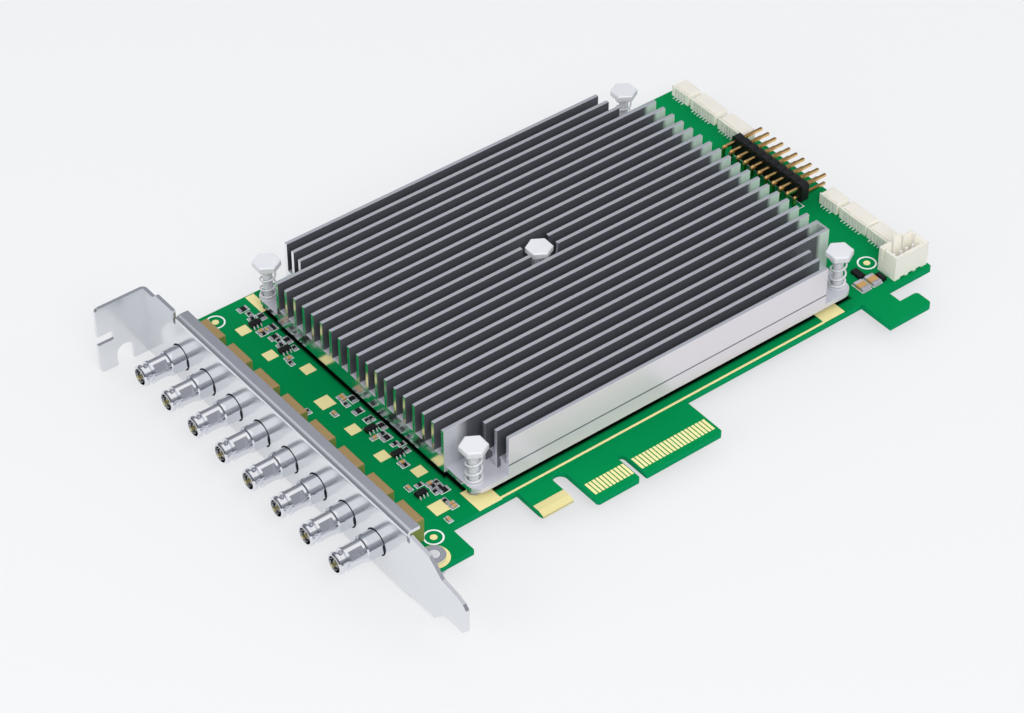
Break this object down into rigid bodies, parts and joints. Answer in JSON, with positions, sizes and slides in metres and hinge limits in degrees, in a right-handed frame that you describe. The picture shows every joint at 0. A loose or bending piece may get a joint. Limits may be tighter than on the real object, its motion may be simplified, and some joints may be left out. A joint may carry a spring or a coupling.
{
  "type": "video capture card",
  "caption": "Full-height slot card with a row of coax inputs on its bracket, a finned heatsink held by sprung bolts, and a short card edge.",
  "frame": {"origin": "centre of the card edge's key notch, at the board's lower card edge, on the component face", "axes": "+X from the slot bracket to the far end, +Y from the card edge to the bracket's screw tab, +Z out of the component side"},
  "size_m": [0.1692, 0.12, 0.0198],
  "materials": {
    "board_green": "satin solder mask",
    "gold_plate": "thin gold plating",
    "bracket_steel": "plated sheet steel, satin",
    "screw_steel": "bright plated steel",
    "spring_steel": "bright spring wire",
    "block_metal": "plated metal block, satin",
    "nickel": "polished nickel plating",
    "insulator_white": "pale insulator",
    "sink_aluminium": "milled fins, satin",
    "chip_black": "moulded package",
    "pad_grey": "soft thermal pad",
    "header_black": "moulded plastic",
    "connector_cream": "moulded plastic",
    "tin": "tin plating",
    "capacitor_tan": "ceramic body"
  },
  "bodies": {
    "root": {"board": "board_green", "box_header_housing": "connector_cream", "box_header_pins": "tin", "bracket": "bracket_steel", "bracket_screws": "screw_steel", "chip_capacitors": "capacitor_tan", "chip_resistors": "chip_black", "chip_terminals": "tin", "coax_barrel_1": "nickel", "coax_barrel_2": "nickel", "coax_barrel_3": "nickel", "coax_barrel_4": "nickel", "coax_barrel_5": "nickel", "coax_barrel_6": "nickel", "coax_barrel_7": "nickel", "coax_barrel_8": "nickel", "coax_block_1": "block_metal", "coax_block_2": "block_metal", "coax_block_3": "block_metal", "coax_block_4": "block_metal", "coax_block_5": "block_metal", "coax_block_6": "block_metal", "coax_block_7": "block_metal", "coax_block_8": "block_metal", "coax_contacts": "gold_plate", "coax_insulators": "insulator_white", "edge_fingers": "gold_plate", "guide_plating": "gold_plate", "header_body": "header_black", "header_pins": "gold_plate", "heatsink": "sink_aluminium", "heatsink_bolts": "screw_steel", "heatsink_nuts": "screw_steel", "heatsink_springs": "spring_steel", "heatsink_washers": "screw_steel", "large_capacitors": "capacitor_tan", "memory_chips": "chip_black", "processor": "chip_black", "small_chips": "chip_black", "solder_pads": "gold_plate", "suppressor_chips": "chip_black", "thermal_pads": "pad_grey", "video_receivers": "chip_black", "wafer_housing_a": "connector_cream", "wafer_housing_b": "connector_cream", "wafer_housing_c": "connector_cream", "wafer_housing_d": "connector_cream", "wafer_housing_e": "connector_cream", "wafer_housing_f": "connector_cream", "wafer_leads": "tin"}
  },
  "joints": []
}
